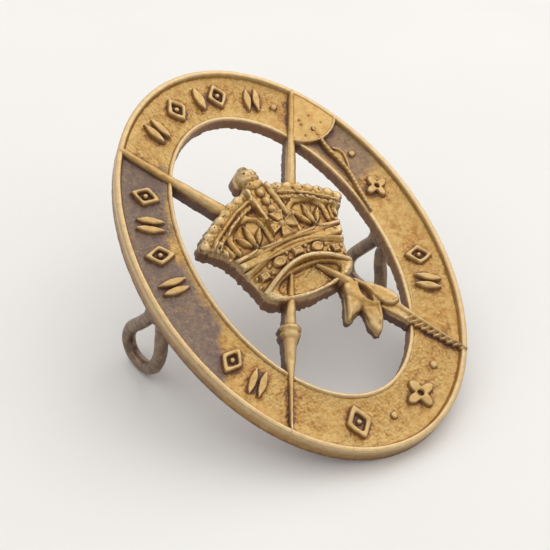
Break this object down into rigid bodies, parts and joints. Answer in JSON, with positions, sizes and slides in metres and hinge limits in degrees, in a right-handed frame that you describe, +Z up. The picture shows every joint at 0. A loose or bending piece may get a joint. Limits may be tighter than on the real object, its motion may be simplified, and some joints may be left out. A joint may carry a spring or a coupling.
{
  "type": "cap badge",
  "caption": "Pierced oval brass cap badge: stippled band, crown over crossed staves, and wire lugs on the back that take a cotter pin.",
  "frame": {"origin": "centre of the footprint on the table, under the badge as it rests on its lugs and the bottom edge of its rim", "axes": "+Z up from the table, +Y towards the raised top edge of the badge, +X to the viewer's right as the face is seen. The face leans back 27 degrees from lying flat"},
  "size_m": [0.0294, 0.0382, 0.0207],
  "materials": {
    "rim": "worn polished rim, warm tan brass with a dull sheen",
    "ground": "fine stippled ground, matt, brown patina in the recesses",
    "marks": "rubbed raised marks with bright edges",
    "crown": "rubbed relief, brown in the recesses",
    "staves": "rubbed relief with dark sides",
    "lug_wire": "dull brown copper-coloured wire",
    "solder": "rough dull hard solder"
  },
  "bodies": {
    "root": {"axe_blade": "staves", "axe_feather_cord": "staves", "axe_lower_shaft": "staves", "axe_upper_shaft": "staves", "band_bar_0": "marks", "band_bar_1": "marks", "band_bar_2": "marks", "band_bar_3": "marks", "band_bar_4": "marks", "band_bar_5": "marks", "band_bar_6": "marks", "band_flower_0": "marks", "band_flower_1": "marks", "band_lozenge_0": "marks", "band_lozenge_1": "marks", "band_lozenge_2": "marks", "band_lozenge_3": "marks", "band_lozenge_4": "marks", "band_lozenge_5": "marks", "band_lozenge_6": "marks", "band_pellet_0": "marks", "band_pellet_1": "marks", "band_pellet_2": "marks", "band_pellet_3": "marks", "club_collar": "staves", "club_feather_tuft": "staves", "club_notched_blade": "staves", "club_upper_shaft": "staves", "crown_arch_left": "crown", "crown_arch_middle": "crown", "crown_arch_right": "crown", "crown_base_panel": "ground", "crown_cap": "crown", "crown_fleuron_left": "crown", "crown_fleuron_right": "crown", "crown_headband": "crown", "crown_orb": "crown", "inner_rim": "rim", "left_lug": "lug_wire", "left_lug_solder": "solder", "outer_rim": "rim", "oval_band": "ground", "right_lug": "lug_wire", "right_lug_solder": "solder"}
  },
  "joints": []
}
